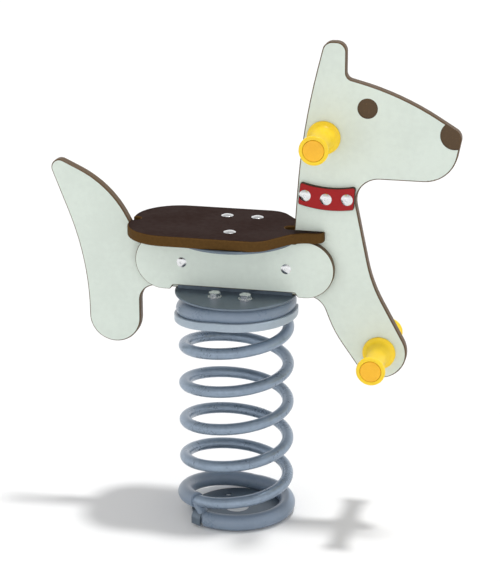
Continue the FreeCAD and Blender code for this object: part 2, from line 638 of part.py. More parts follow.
def cap_nut(x, y, top, radius):
    """Domed nut hanging under a plate."""
    skirt = radius * 1.6
    body = rod(radius * 1.7, Vector(x, y, top - skirt), UP * skirt)
    body = body.fuse(dome(radius * 1.7, radius * 1.5, Vector(x, y, top - skirt), -UP))
    return body.cut(rod(radius + THREAD_GAP, Vector(x, y, top - 7.0), UP * 7.0)).Solids[0]


os.makedirs("parts", exist_ok=True)
build_spring_unit()
build_hub()
build_rider()
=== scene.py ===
"""Playground spring rider: the visual model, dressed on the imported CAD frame."""
import logging
from dataclasses import dataclass, field
from enum import Enum
from typing import Iterable, Sequence

import bpy
import numpy as np
from mathutils import Matrix, Vector


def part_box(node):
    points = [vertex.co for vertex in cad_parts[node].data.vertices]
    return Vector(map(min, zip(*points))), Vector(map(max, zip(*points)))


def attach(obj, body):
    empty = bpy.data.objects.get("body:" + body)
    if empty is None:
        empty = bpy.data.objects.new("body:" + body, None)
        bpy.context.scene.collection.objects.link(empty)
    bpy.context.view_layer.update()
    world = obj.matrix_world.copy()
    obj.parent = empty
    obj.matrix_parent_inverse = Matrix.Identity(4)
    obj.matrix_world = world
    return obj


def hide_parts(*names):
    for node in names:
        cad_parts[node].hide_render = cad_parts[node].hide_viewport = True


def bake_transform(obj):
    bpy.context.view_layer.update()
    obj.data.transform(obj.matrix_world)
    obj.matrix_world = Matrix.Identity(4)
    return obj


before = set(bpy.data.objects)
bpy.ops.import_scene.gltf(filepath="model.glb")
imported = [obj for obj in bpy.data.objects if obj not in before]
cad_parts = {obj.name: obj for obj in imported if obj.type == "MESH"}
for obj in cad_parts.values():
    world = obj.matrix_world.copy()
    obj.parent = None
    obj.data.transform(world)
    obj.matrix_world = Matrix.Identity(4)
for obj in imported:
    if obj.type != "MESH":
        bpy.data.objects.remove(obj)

LOG = logging.getLogger("spring_rider")
Colour = tuple[float, float, float]
UP = np.array([0.0, 0.0, 1.0])

# Sheet thicknesses, and how far a panel's middle lies from the silhouette's, in metres.
BOARD_THICKNESS = 0.019
PANEL_THICKNESS = 0.012
PANEL_MIDDLE = 0.0155
COLLAR_THICKNESS = 0.008
COLLAR_MIDDLE = 0.0135


class Side(Enum):
    """The dog's two sides, as directions along Y."""

    RIGHT = -1.0
    LEFT = 1.0


class Layer(Enum):
    """The axis that the layers of a two-colour sheet are stacked along."""

    ACROSS = (0.0, 1.0, 0.0)
    UPWARD = (0.0, 0.0, 1.0)


# ---- shader groups ------------------------------------------------------------------------------


class Graph:
    """A node tree with short ways to add nodes and link them."""

    def __init__(self, tree: bpy.types.NodeTree) -> None:
        """Start on an empty tree.

        Args:
            tree: The material's or the group's node tree.
        """
        self.tree = tree
        self.tree.nodes.clear()

    def add(self, kind: str, values: dict | None = None, **settings: object) -> bpy.types.Node:
        """Add a node.

        Args:
            kind: The node's type name.
            values: Input socket name or index to a value, or to an output socket to link from.
            **settings: Node properties to set.

        Returns:
            The new node.
        """
        node = self.tree.nodes.new(kind)
        for name, value in settings.items():
            setattr(node, name, value)
        for key, value in (values or {}).items():
            self.feed(node, key, value)
        return node

    def feed(self, node: bpy.types.Node, key: str | int, value: object) -> None:
        """Set an input, or link it when the value is an output socket.

        Args:
            node: The node that takes the value.
            key: The input's name or index.
            value: A number, a colour or vector, or an output socket.
        """
        if isinstance(value, bpy.types.NodeSocket):
            self.tree.links.new(value, node.inputs[key])
        else:
            node.inputs[key].default_value = value

    def maths(self, operation: str, a: object, b: object = 0.0) -> bpy.types.NodeSocket:
        """One step of arithmetic.

        Args:
            operation: The Math node's operation.
            a: First value or socket.
            b: Second value or socket.

        Returns:
            The result's socket.
        """
        return self.add("ShaderNodeMath", {0: a, 1: b}, operation=operation).outputs[0]

    def dot(self, a: object, b: object) -> bpy.types.NodeSocket:
        """Dot product of two vectors.

        Args:
            a: First vector or socket.
            b: Second vector or socket.

        Returns:
            The result's socket.
        """
        return self.add("ShaderNodeVectorMath", {0: a, 1: b}, operation="DOT_PRODUCT").outputs["Value"]

    def noise(self, vector: object, scale: object, detail: float) -> bpy.types.NodeSocket:
        """Cloudy noise.

        Args:
            vector: Where it is read.
            scale: How fine it is.
            detail: How many finer layers it holds.

        Returns:
            Its value's socket, 0 to 1.
        """
        values = {"Vector": vector, "Scale": scale, "Detail": detail}
        return self.add("ShaderNodeTexNoise", values).outputs["Fac"]

    def spread(
        self, value: object, low: float, high: float, to_low: float, to_high: float
    ) -> bpy.types.NodeSocket:
        """Carry a value from one range to another, clamped, with soft ends.

        Args:
            value: The socket to carry.
            low: Start of its range.
            high: End of its range.
            to_low: What the start becomes.
            to_high: What the end becomes.

        Returns:
            The result's socket.
        """
        sockets = {"Value": value, "From Min": low, "From Max": high, "To Min": to_low, "To Max": to_high}
        return self.add("ShaderNodeMapRange", sockets, interpolation_type="SMOOTHSTEP").outputs["Result"]

    def mix(self, share: object, first: object, second: object) -> bpy.types.NodeSocket:
        """Mix two colours.

        Args:
            share: How much of the second, 0 to 1.
            first: Colour or socket.
            second: Colour or socket.

        Returns:
            The mixed colour's socket.
        """
        node = self.add("ShaderNodeMix", data_type="RGBA")
        for index, value in ((0, share), (6, first), (7, second)):
            self.feed(node, index, value + (1.0,) if isinstance(value, tuple) else value)
        return node.outputs[2]


def new_group(
    name: str, inputs: Iterable[tuple[str, str, object]], outputs: Iterable[tuple[str, str]]
) -> tuple[Graph, dict, bpy.types.Node]:
    """Make an empty shader group with named sockets.

    Args:
        name: The group's name.
        inputs: (name, socket type, default) of each input.
        outputs: (name, socket type) of each output.

    Returns:
        Its graph, its inputs by name, and its output node.
    """
    tree = bpy.data.node_groups.new(name, "ShaderNodeTree")
    for label, kind, default in inputs:
        socket = tree.interface.new_socket(name=label, in_out="INPUT", socket_type=kind)
        socket.default_value = default
    for label, kind in outputs:
        tree.interface.new_socket(name=label, in_out="OUTPUT", socket_type=kind)
    graph = Graph(tree)
    entry = graph.add("NodeGroupInput")
    given = {socket.name: socket for socket in entry.outputs if socket.name}
    return graph, given, graph.add("NodeGroupOutput")


FLOAT, VECTOR = "NodeSocketFloat", "NodeSocketVector"
POINT = ("Vector", VECTOR, (0, 0, 0))
BORDER_WOBBLE = 0.00006  # metres that the border between core and skin wanders by
BORDER_BLUR = 0.00002  # metres to each side over which it fades
RIDGE_PHASE = 5200.0  # radians of ridge for each metre of thickness


def grain_group() -> bpy.types.NodeTree:
    """Pebbled skin: the distance to the nearest of many scattered points, warped by fine noise.

    Returns:
        The group, with a Height from 0 to 1.
    """
    graph, given, out = new_group("pebble_grain", [POINT, ("Scale", FLOAT, 600.0)], [("Height", FLOAT)])
    where = {"Vector": given["Vector"], "Scale": given["Scale"]}
    cells = graph.add("ShaderNodeTexVoronoi", where, feature="SMOOTH_F1")
    noise = graph.noise(given["Vector"], graph.maths("MULTIPLY", given["Scale"], 0.45), 4.0)
    pebbles = graph.maths("MULTIPLY", cells.outputs["Distance"], 0.65)
    graph.feed(out, "Height", graph.maths("ADD", pebbles, graph.maths("MULTIPLY", noise, 0.5)))
    return graph.tree


def mottle_group() -> bpy.types.NodeTree:
    """Uneven tone: two sizes of noise added together, for colour and gloss that drift over a surface.

    Returns:
        The group, with a Value round 0.5.
    """
    graph, given, out = new_group("mottle", [POINT, ("Scale", FLOAT, 20.0)], [("Value", FLOAT)])
    broad = graph.noise(given["Vector"], given["Scale"], 3.0)
    fine = graph.noise(given["Vector"], graph.maths("MULTIPLY", given["Scale"], 9.0), 5.0)
    both = graph.maths("ADD", graph.maths("MULTIPLY", broad, 0.6), graph.maths("MULTIPLY", fine, 0.4))
    graph.feed(out, "Value", both)
    return graph.tree


def scratch_group() -> bpy.types.NodeTree:
    """Scuffs: thin stretched noise where a broad patch allows it.

    Returns:
        The group, with a Mask of 0 or more.
    """
    graph, given, out = new_group("scuffs", [POINT, ("Amount", FLOAT, 0.5)], [("Mask", FLOAT)])
    stretch = {"Vector": given["Vector"], "Rotation": (0.3, 0.5, 0.7), "Scale": (900.0, 45.0, 240.0)}
    turned = graph.add("ShaderNodeMapping", stretch)
    lines = graph.noise(turned.outputs[0], 1.0, 2.0)
    patch = graph.noise(given["Vector"], 14.0, 2.0)
    thin = graph.spread(lines, 0.66, 0.74, 0.0, 1.0)
    allowed = graph.spread(patch, 0.52, 0.7, 0.0, 1.0)
    graph.feed(out, "Mask", graph.maths("MULTIPLY", graph.maths("MULTIPLY", thin, allowed), given["Amount"]))
    return graph.tree


def layer_group() -> bpy.types.NodeTree:
    """Core or skin: how far a point lies from the sheet's middle plane, against the core's half thickness.

    Returns:
        The group, with a Mask that is 1 on the skin and 0 on the core, with a slightly uneven border.
    """
    sockets = [POINT, ("Axis", VECTOR, (0, 1, 0)), ("Centre", FLOAT, 0.0), ("Core", FLOAT, 0.008)]
    graph, given, out = new_group("sheet_layers", sockets, [("Mask", FLOAT)])
    along = graph.dot(given["Vector"], given["Axis"])
    off = graph.maths("ABSOLUTE", graph.maths("SUBTRACT", along, given["Centre"]))
    uneven = graph.maths("SUBTRACT", graph.noise(given["Vector"], 90.0, 3.0), 0.5)
    past_core = graph.maths("SUBTRACT", off, given["Core"])
    shifted = graph.maths("ADD", past_core, graph.maths("MULTIPLY", uneven, BORDER_WOBBLE))
    graph.feed(out, "Mask", graph.spread(shifted, -BORDER_BLUR, BORDER_BLUR, 0.0, 1.0))
    return graph.tree


def cutter_group() -> bpy.types.NodeTree:
    """Router marks: fine ridges along the sheet's thickness, broken up by noise.

    Returns:
        The group, with a Height from 0 to 1.
    """
    graph, given, out = new_group("cutter_marks", [POINT, ("Axis", VECTOR, (0, 1, 0))], [("Height", FLOAT)])
    along = graph.dot(given["Vector"], given["Axis"])
    noise = graph.noise(given["Vector"], 260.0, 3.0)
    turned = graph.maths("MULTIPLY", along, RIDGE_PHASE)
    phase = graph.maths("ADD", turned, graph.maths("MULTIPLY", noise, 5.0))
    ridges = graph.maths("MULTIPLY", graph.maths("SINE", phase), 0.3)
    graph.feed(out, "Height", graph.maths("ADD", ridges, graph.maths("MULTIPLY", noise, 0.6)))
    return graph.tree


# ---- finishes -----------------------------------------------------------------------------------


@dataclass
class Workshop:
    """Holds the shader groups, so that each is built once."""

    grain: bpy.types.NodeTree = field(default_factory=grain_group)
    mottle: bpy.types.NodeTree = field(default_factory=mottle_group)
    scuffs: bpy.types.NodeTree = field(default_factory=scratch_group)
    layers: bpy.types.NodeTree = field(default_factory=layer_group)
    cutter: bpy.types.NodeTree = field(default_factory=cutter_group)

    @staticmethod
    def use(graph: Graph, group: bpy.types.NodeTree, **values: object) -> bpy.types.NodeSocket:
        """Place a group in a material. Its inputs exist only once its tree is set.

        Args:
            graph: The material's graph.
            group: The shader group.
            **values: Its inputs by name.

        Returns:
            Its only output.
        """
        node = graph.add("ShaderNodeGroup", node_tree=group)
        for key, value in values.items():
            graph.feed(node, key, value)
        return node.outputs[0]


def start_material(name: str) -> tuple[bpy.types.Material, Graph, bpy.types.Node, bpy.types.NodeSocket]:
    """Make a material with a Principled shader on Object coordinates.

    Args:
        name: The material's name.

    Returns:
        The material, its graph, its shader, and the Object coordinates.
    """
    material = bpy.data.materials.new(name)
    material.use_nodes = True
    graph = Graph(material.node_tree)
    shader = graph.add("ShaderNodeBsdfPrincipled")
    graph.add("ShaderNodeOutputMaterial", {"Surface": shader.outputs[0]})
    place = graph.add("ShaderNodeTexCoord").outputs["Object"]
    return material, graph, shader, place


def tinted(colour: Colour, factor: float, lift: float = 0.0) -> Colour:
    """Darken or brighten a colour, up to white.

    Args:
        colour: The colour.
        factor: What each channel is multiplied by.
        lift: What is added to it.

    Returns:
        The new colour.
    """
    return tuple(min(1.0, c * factor + lift) for c in colour)


def bump(
    graph: Graph, shader: bpy.types.Node, height: bpy.types.NodeSocket, depth: float, strength: float
) -> None:
    """Give a shader a bump.

    Args:
        graph: The material's graph.
        shader: The Principled shader.
        height: The height's socket, 0 to 1.
        depth: What a height of 1 stands for, in metres.
        strength: The Bump node's strength.
    """
    node = graph.add("ShaderNodeBump", {"Height": height, "Distance": depth, "Strength": strength})
    graph.feed(shader, "Normal", node.outputs["Normal"])


@dataclass(frozen=True)
class SheetFinish:
    """Two-colour plastic sheet: pebbled skins over a core that shows wherever the sheet is cut."""

    name: str
    skin: Colour
    core: Colour
    layer: Layer
    centre: float
    thickness: float
    skin_depth: float = 0.00015
    shine: float = 0.4

    def make(self, shop: Workshop) -> bpy.types.Material:
        """Build the material.

        Args:
            shop: The shader groups.

        Returns:
            The material.
        """
        material, graph, shader, place = start_material(self.name)
        axis = self.layer.value
        core_half = self.thickness / 2 - self.skin_depth
        mask = shop.use(graph, shop.layers, Vector=place, Axis=axis, Centre=self.centre, Core=core_half)
        tone = shop.use(graph, shop.mottle, Vector=place, Scale=11.0)
        grain = shop.use(graph, shop.grain, Vector=place, Scale=620.0)
        cuts = shop.use(graph, shop.cutter, Vector=place, Axis=axis)
        scuffs = shop.use(graph, shop.scuffs, Vector=place, Amount=0.35)
        drift = graph.spread(tone, 0.38, 0.62, 0.0, 1.0)
        skin = graph.mix(drift, tinted(self.skin, 0.965), tinted(self.skin, 1.02))
        skin = graph.mix(scuffs, skin, tinted(self.skin, 1.25, 0.005))
        ridges = graph.spread(cuts, 0.1, 0.7, 0.0, 1.0)
        core = graph.mix(ridges, tinted(self.core, 0.75), tinted(self.core, 1.2))
        graph.feed(shader, "Base Color", graph.mix(mask, core, skin))
        skin_gloss = graph.spread(tone, 0.3, 0.7, 0.52, 0.4)
        core_gloss = graph.spread(cuts, 0.0, 1.0, 0.45, 0.6)
        gloss = graph.add("ShaderNodeMix", {0: mask, 2: core_gloss, 3: skin_gloss}, data_type="FLOAT")
        graph.feed(shader, "Roughness", gloss.outputs[0])
        shader.inputs["Specular IOR Level"].default_value = self.shine
        height = graph.add("ShaderNodeMix", {0: mask, 2: cuts, 3: grain}, data_type="FLOAT").outputs[0]
        bump(graph, shader, height, 0.00016, 0.7)
        return material


@dataclass(frozen=True)
class MouldedFinish:
    """Moulded plastic: a satin surface with faint flow marks and scuffs."""

    name: str
    colour: Colour
    deep: Colour
    rough: float = 0.33
    coat: float = 0.0
    subsurface: float = 0.0

    def make(self, shop: Workshop) -> bpy.types.Material:
        """Build the material.

        Args:
            shop: The shader groups.

        Returns:
            The material.
        """
        material, graph, shader, place = start_material(self.name)
        tone = shop.use(graph, shop.mottle, Vector=place, Scale=24.0)
        grain = shop.use(graph, shop.grain, Vector=place, Scale=1500.0)
        scuffs = shop.use(graph, shop.scuffs, Vector=place, Amount=0.3)
        colour = graph.mix(graph.spread(tone, 0.35, 0.65, 0.0, 1.0), self.deep, self.colour)
        colour = graph.mix(scuffs, colour, tinted(self.colour, 1.2, 0.03))
        graph.feed(shader, "Base Color", colour)
        graph.feed(shader, "Roughness", graph.spread(tone, 0.3, 0.7, self.rough - 0.05, self.rough + 0.08))
        shader.inputs["Coat Weight"].default_value = self.coat
        shader.inputs["Coat Roughness"].default_value = 0.2
        shader.inputs["Subsurface Weight"].default_value = self.subsurface
        shader.inputs["Subsurface Scale"].default_value = 0.004
        bump(graph, shader, grain, 0.00004, 0.6)
        return material


@dataclass(frozen=True)
class PowderCoat:
    """Powder coat on steel: orange peel, a drifting tone and rubbed spots."""

    name: str
    colour: Colour
    rubbed: Colour
    rough: float = 0.38
    peel: float = 320.0
    metallic: float = 0.0

    def make(self, shop: Workshop) -> bpy.types.Material:
        """Build the material.

        Args:
            shop: The shader groups.

        Returns:
            The material.
        """
        material, graph, shader, place = start_material(self.name)
        tone = shop.use(graph, shop.mottle, Vector=place, Scale=16.0)
        peel = shop.use(graph, shop.grain, Vector=place, Scale=self.peel)
        scuffs = shop.use(graph, shop.scuffs, Vector=place, Amount=0.5)
        drift = graph.spread(tone, 0.35, 0.65, 0.0, 1.0)
        colour = graph.mix(drift, tinted(self.colour, 0.86), tinted(self.colour, 1.1))
        graph.feed(shader, "Base Color", graph.mix(scuffs, colour, self.rubbed))
        graph.feed(shader, "Roughness", graph.spread(tone, 0.3, 0.7, self.rough - 0.06, self.rough + 0.1))
        shader.inputs["Metallic"].default_value = self.metallic
        bump(graph, shader, peel, 0.00005, 0.3)
        return material


@dataclass(frozen=True)
class SteelFinish:
    """Stainless steel: fine uneven tone, faint dents and scuffs."""

    name: str
    colour: Colour = (0.78, 0.79, 0.8)
    rough: float = 0.22

    def make(self, shop: Workshop) -> bpy.types.Material:
        """Build the material.

        Args:
            shop: The shader groups.

        Returns:
            The material.
        """
        material, graph, shader, place = start_material(self.name)
        tone = shop.use(graph, shop.mottle, Vector=place, Scale=180.0)
        scuffs = shop.use(graph, shop.scuffs, Vector=place, Amount=0.8)
        drift = graph.spread(tone, 0.3, 0.7, 0.0, 1.0)
        graph.feed(shader, "Base Color", graph.mix(drift, tinted(self.colour, 0.86), self.colour))
        gloss = graph.spread(tone, 0.3, 0.7, self.rough - 0.06, self.rough + 0.1)
        graph.feed(shader, "Roughness", graph.maths("ADD", gloss, graph.maths("MULTIPLY", scuffs, 0.2)))
        shader.inputs["Metallic"].default_value = 1.0
        bump(graph, shader, tone, 0.00003, 0.4)
        return material


# ---- surfaces -----------------------------------------------------------------------------------


def rounded(
    corners: Sequence[tuple[float, float, float]], steps: int, closed: bool = False
) -> np.ndarray:
    """Round a drawn line: each corner becomes points along its tangent arc.

    With the unit directions b back and a ahead, and h half the angle between them, the arc starts
    radius / tan h along b, its centre lies radius / sin h along b + a, and its points turn evenly from the
    one side to the other.

    Args:
        corners: (along, up, radius) of each corner.
        steps: Points on each arc.
        closed: Whether the line returns to its start.

    Returns:
        The points, one row each.
    """
    points = np.array([c[:2] for c in corners], float)
    line = []
    for i, (here, radius) in enumerate(zip(points, (c[2] for c in corners))):
        if radius == 0 or (not closed and i in (0, len(points) - 1)):
            line.append(here[None])
            continue
        back, ahead = points[i - 1] - here, points[(i + 1) % len(points)] - here
        back, ahead = back / np.linalg.norm(back), ahead / np.linalg.norm(ahead)
        half = np.arccos(np.clip(back @ ahead, -1, 1)) / 2
        middle = (back + ahead) / np.linalg.norm(back + ahead)
        centre = here + middle * radius / np.sin(half)
        first = here + back * radius / np.tan(half) - centre
        last = here + ahead * radius / np.tan(half) - centre
        share = np.linspace(0, 1, steps)[:, None]
        sweep = np.pi - 2 * half
        turned = np.sin((1 - share) * sweep) * first + np.sin(share * sweep) * last
        line.append(centre + turned / np.sin(sweep))
    return np.concatenate(line)


def grid_faces(rows: int, columns: int, loop: bool) -> np.ndarray:
    """Quads of a grid of points whose columns close on themselves.

    Args:
        rows: Number of rows.
        columns: Points in each row.
        loop: Whether the last row joins the first.

    Returns:
        Four indices for each face.
    """
    row = np.arange(rows if loop else rows - 1)[:, None]
    column = np.arange(columns)[None]
    here, there = row * columns, (row + 1) % rows * columns
    nearby = (column + 1) % columns
    return np.stack([here + column, here + nearby, there + nearby, there + column], -1).reshape(-1, 4)


def add_mesh(name: str, points: np.ndarray, faces: list, sharp: float = 40.0) -> bpy.types.Object:
    """Put a surface into the scene with its faces pointing outward.

    Args:
        name: The piece's name.
        points: Its vertices.
        faces: Its faces.
        sharp: Edges bent by more than this many degrees stay sharp.

    Returns:
        The new object, at the origin.
    """
    corners = np.array([f[:3] for f in faces] + [(f[0], f[2], f[3]) for f in faces if len(f) == 4])
    a, b, c = points[corners].transpose(1, 0, 2)
    if np.einsum("ij,ij->i", a, np.cross(b, c)).sum() < 0:
        faces = [f[::-1] for f in faces]
    mesh = bpy.data.meshes.new(name)
    mesh.from_pydata(points.tolist(), [], [list(map(int, f)) for f in faces])
    mesh.validate()
    mesh.shade_smooth()
    mesh.set_sharp_from_angle(angle=np.radians(sharp))
    piece = bpy.data.objects.new(name, mesh)
    bpy.context.scene.collection.objects.link(piece)
    return piece


def skin_over(name: str, rings: np.ndarray, loop: bool = False, sharp: float = 40.0) -> bpy.types.Object:
    """Cover a run of closed rings; an open run gets a fan over each end, about its middle.

    Args:
        name: The piece's name.
        rings: Points as (ring, place on the ring, xyz).
        loop: Whether the last ring joins the first.
        sharp: Edges bent by more than this many degrees stay sharp.

    Returns:
        The new object.
    """
    rows, columns, _ = rings.shape
    points = rings.reshape(-1, 3)
    faces = grid_faces(rows, columns, loop).tolist()
    if not loop:
        points = np.concatenate([points, rings[0].mean(0)[None], rings[-1].mean(0)[None]])
        at = np.arange(columns)
        nearby = (at + 1) % columns
        first, last = rows * columns, rows * columns + 1
        start = np.stack([np.full(columns, first), nearby, at], -1)
        end = np.stack([np.full(columns, last), at + (rows - 1) * columns, nearby + (rows - 1) * columns], -1)
        faces += start.tolist() + end.tolist()
    return add_mesh(name, points, faces, sharp)


def lathe(
    name: str,
    profile: np.ndarray,
    foot: np.ndarray,
    axis: np.ndarray,
    columns: int,
    loop: bool = False,
    flats: np.ndarray | None = None,
    sharp: float = 40.0,
) -> bpy.types.Object:
    """Turn a profile round an axis: foot + axis * height + radius * (side cos t + other sin t).

    Args:
        name: The piece's name.
        profile: (radius, height) of each ring.
        foot: Where the axis starts.
        axis: Unit vector along the axis.
        columns: Points round the axis.
        loop: Whether the profile is closed, as a tube's is.
        flats: For each ring, 0 for round to 1 for hexagonal, where the radius is measured across the flats.
        sharp: Edges bent by more than this many degrees stay sharp.

    Returns:
        The new object.
    """
    side = np.cross(axis, UP if abs(axis[2]) < 0.9 else np.array([1.0, 0, 0]))
    other = np.cross(axis, side)
    turn = np.linspace(0, 2 * np.pi, columns, endpoint=False)
    hexagon = 1 / np.cos((turn + np.pi / 6) % (np.pi / 3) - np.pi / 6)
    share = np.zeros(len(profile)) if flats is None else np.asarray(flats, float)
    radius = profile[:, :1] * (1 + share[:, None] * (hexagon - 1)[None])
    spoke = side * np.cos(turn)[:, None] + other * np.sin(turn)[:, None]
    rings = foot + axis * profile[:, 1][:, None, None] + radius[..., None] * spoke[None]
    return skin_over(name, rings, loop, sharp)


def solids_of(node: str, count: int) -> list[tuple[np.ndarray, np.ndarray]]:
    """Boxes of a node's separate solids, parted at the widest empty stretches along X.

    Args:
        node: The CAD node.
        count: How many solids it has.

    Returns:
        (lowest corner, highest corner) of each, from the tail to the nose.
    """
    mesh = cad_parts[node].data
    points = np.empty(len(mesh.vertices) * 3)
    mesh.vertices.foreach_get("co", points)
    points = points.reshape(-1, 3)
    points = points[np.argsort(points[:, 0])]
    breaks = np.sort(np.argsort(np.diff(points[:, 0]))[len(points) - count:]) + 1
    return [(group.min(0), group.max(0)) for group in np.split(points, breaks)]


def dress(piece: bpy.types.Object, material: bpy.types.Material) -> None:
    """Put a material on a piece's every slot.

    Args:
        piece: The piece.
        material: The material.
    """
    if piece.material_slots:
        for held in piece.material_slots:
            held.material = material
    else:
        piece.data.materials.append(material)


def place(
    piece: bpy.types.Object, body: str, material: bpy.types.Material, slot: str, *nodes: str
) -> None:
    """Finish a new piece: material, body, and the nodes it stands for.

    Args:
        piece: The piece.
        body: The CAD body that it rides on.
        material: Its material.
        slot: The record's material slot; not used.
        *nodes: CAD nodes that it replaces.
    """
    dress(piece, material)
    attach(piece, body)
    if nodes:
        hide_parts(*nodes)
    LOG.info("%s rides on %s", piece.name, body)


# ---- spring unit --------------------------------------------------------------------------------


@dataclass
class CoilPath:
    """The line of the wire: level at both ends, steady pitch between.

    Turns are in degrees, with 0 at the right side.
    """

    radius: float = 0.090
    pitch: float = 0.0689
    rise_start: float = -188.0
    rise_end: float = 1792.0
    flat: float = 211.0
    low: float = 0.014

    @property
    def start(self) -> float:
        """Turn of the wire's lower tip.

        Returns:
            The turn in degrees.
        """
        return self.rise_start - self.flat

    @property
    def end(self) -> float:
        """Turn of the wire's upper tip.

        Returns:
            The turn in degrees.
        """
        return self.rise_end + self.flat

    def height(self, turns: np.ndarray) -> np.ndarray:
        """Height of the wire's centre: low + pitch / 360 * the rising part of the turn.

        Args:
            turns: The turns in degrees.

        Returns:
            The height at each.
        """
        risen = np.clip(turns, self.rise_start, self.rise_end) - self.rise_start
        return self.low + self.pitch / 360 * risen

    def rings(self, turns: np.ndarray, outs: np.ndarray, ups: np.ndarray) -> np.ndarray:
        """Carry a section along the wire, upright in the plane through the spring's axis.

        A point is (radius + out) * (cos, sin of the turn less 90 degrees), at the wire's height + up.

        Args:
            turns: The turn of each ring.
            outs: Distance outward from the wire's centre, one row for each ring or one for all.
            ups: Distance above it, the same.

        Returns:
            Points as (ring, place on the ring, xyz).
        """
        angle = np.radians(turns - 90)[:, None]
        reach = self.radius + np.broadcast_to(outs, (len(turns), outs.shape[-1]))
        rise = self.height(turns)[:, None] + np.broadcast_to(ups, reach.shape)
        return np.stack([reach * np.cos(angle), reach * np.sin(angle), rise], -1)


def circle(radius: float, columns: int) -> tuple[np.ndarray, np.ndarray]:
    """Points round a circle.

    Args:
        radius: The circle's radius.
        columns: How many points.

    Returns:
        How far outward each lies, and how far up.
    """
    turn = np.linspace(0, 2 * np.pi, columns, endpoint=False)
    return radius * np.cos(turn), radius * np.sin(turn)


@dataclass
class SpringUnit:
    """The coil spring with its sleeves, cup, end plates, straps and screws."""

    path: CoilPath = field(default_factory=CoilPath)
    wire: float = 0.010
    sleeve: float = 0.014
    bore: float = 0.0105
    sleeve_span: float = 345.0
    bare_tip: float = 16.0
    sleeve_lip: float = 0.0012
    cup_before: float = 92.0
    cup_after: float = 113.0
    lower_cut: float = 581.0
    upper_cut: float = 1023.0
    ring_step: float = 2.5
    tip_round: float = 0.003
    tip_start: float = 0.0004

    def build(
        self,
        coat: bpy.types.Material,
        moulded: bpy.types.Material,
        cup: bpy.types.Material,
        shaded_bracket: bpy.types.Material,
        steel: bpy.types.Material,
    ) -> None:
        """Make and dress every piece of the spring unit.

        Args:
            coat: The wire's finish.
            moulded: The sleeves' finish.
            cup: The cup's finish.
            shaded_bracket: The plates' and straps' finish.
            steel: The screws' finish.
        """
        self.wire_lengths(coat)
        self.sleeves(moulded)
        self.cup(cup)
        # The plates and straps take the darker bracket coat, which is painted shade.
        for node in ("base_plate", "top_plate", "bottom_end_strap", "top_end_strap"):
            dress(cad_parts[node], shaded_bracket)
        for node in ("bottom_strap_screw", "top_strap_screw"):
            dress(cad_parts[node], steel)

    def wire_lengths(self, coat: bpy.types.Material) -> None:
        """Make the wire in three lengths, with round tips.

        The radius of a ring near a tip is sqrt(1 - (1 - distance to the tip / round)^2) of the wire's.

        Args:
            coat: The finish.
        """
        path = self.path
        names = ("lower", "middle", "upper")
        marks = (path.start, self.lower_cut, self.upper_cut, path.end)
        bends = ((0.046, 0.157), (0.166, 0.241), (0.250, 0.361))
        pairs = (("base", "rocked_spring"), ("rocked_spring", "swayed_spring"), ("swayed_spring", "rider"))
        nodes = (("spring_bottom_coil", "spring_lower_coils"), ("spring_upper_coils",), ("spring_top_coil",))
        for name, first, last, bend, pair, stands in zip(names, marks, marks[1:], bends, pairs, nodes):
            turns = np.linspace(first, last, int((last - first) / self.ring_step) + 1)
            tip = np.minimum(turns - path.start, path.end - turns) * np.radians(1) * path.radius
            short = np.clip(1 - (tip + self.tip_start) / self.tip_round, 0, 1)
            shrink = np.sqrt(1 - short**2)[:, None]
            out, up = circle(self.wire, 40)
            piece = skin_over(f"spring_wire_{name}", path.rings(turns, out * shrink, up * shrink))
            dress(piece, coat)
            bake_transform(piece)
            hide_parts(*stands)
            LOG.info("%s bends from %s to %s", piece.name, *pair)

    def sleeves(self, moulded: bpy.types.Material) -> None:
        """Make both sleeves: an outer and an inner tube wall, joined by rounded lips at the ends.

        Args:
            moulded: The finish.
        """
        path = self.path
        low = path.start + self.bare_tip
        high = path.end - self.bare_tip
        spans = (
            ("bottom_sleeve", "base", low, low + self.sleeve_span),
            ("top_sleeve", "rider", high - self.sleeve_span, high),
        )
        for node, body, first, last in spans:
            lip = np.degrees(self.sleeve_lip / path.radius)
            opening = [first, first, first + 0.3 * lip, first + lip]
            middle = np.linspace(first + 2 * lip, last - 2 * lip, 150)
            turns = np.concatenate([opening, middle, [last - lip, last - 0.3 * lip, last, last]])
            walls = np.full(len(turns), self.sleeve)
            rounding = np.array([0.0022, 0.0012, 0.0003])
            walls[:3] = self.sleeve - rounding
            walls[-3:] = self.sleeve - rounding[::-1]
            bore = np.full(2, self.bore)
            turns = np.concatenate([turns, [last, first]])
            walls = np.concatenate([walls, bore])[:, None]
            out, up = circle(1.0, 48)
            piece = skin_over(node + "_shell", path.rings(turns, out * walls, up * walls), loop=True)
            place(piece, body, moulded, "sleeve_plastic", node)

    def cup(self, finish: bpy.types.Material) -> None:
        """Make the cup under the top coil, with rounded outer edges and a seat that fits the sleeve.

        Args:
            finish: The finish.
        """
        seat, inner, outer, lip, depth = self.sleeve + 0.0005, 0.012, 0.017, 0.009, 0.024
        low, high = -np.sqrt(seat**2 - inner**2), np.sqrt(seat**2 - lip**2)
        corners = [
            (-inner, low, 0.0006),
            (-inner, -depth, 0.0015),
            (outer, -depth, 0.004),
            (outer, -lip, 0.0012),
            (high, -lip, 0.0006),
        ]
        line = rounded(corners, 6, closed=True)
        span = np.linspace(np.arctan2(-lip, high), np.arctan2(low, -inner), 18)[1:-1]
        arc = np.stack([seat * np.cos(span), seat * np.sin(span)], -1)
        section = np.concatenate([line, arc])
        turns = np.linspace(self.path.rise_end - self.cup_before, self.path.rise_end + self.cup_after, 110)
        piece = skin_over("top_coil_cup_shell", self.path.rings(turns, section[:, 0], section[:, 1]))
        place(piece, "rider", finish, "cup_plastic", "top_coil_cup")


# ---- rider --------------------------------------------------------------------------------------


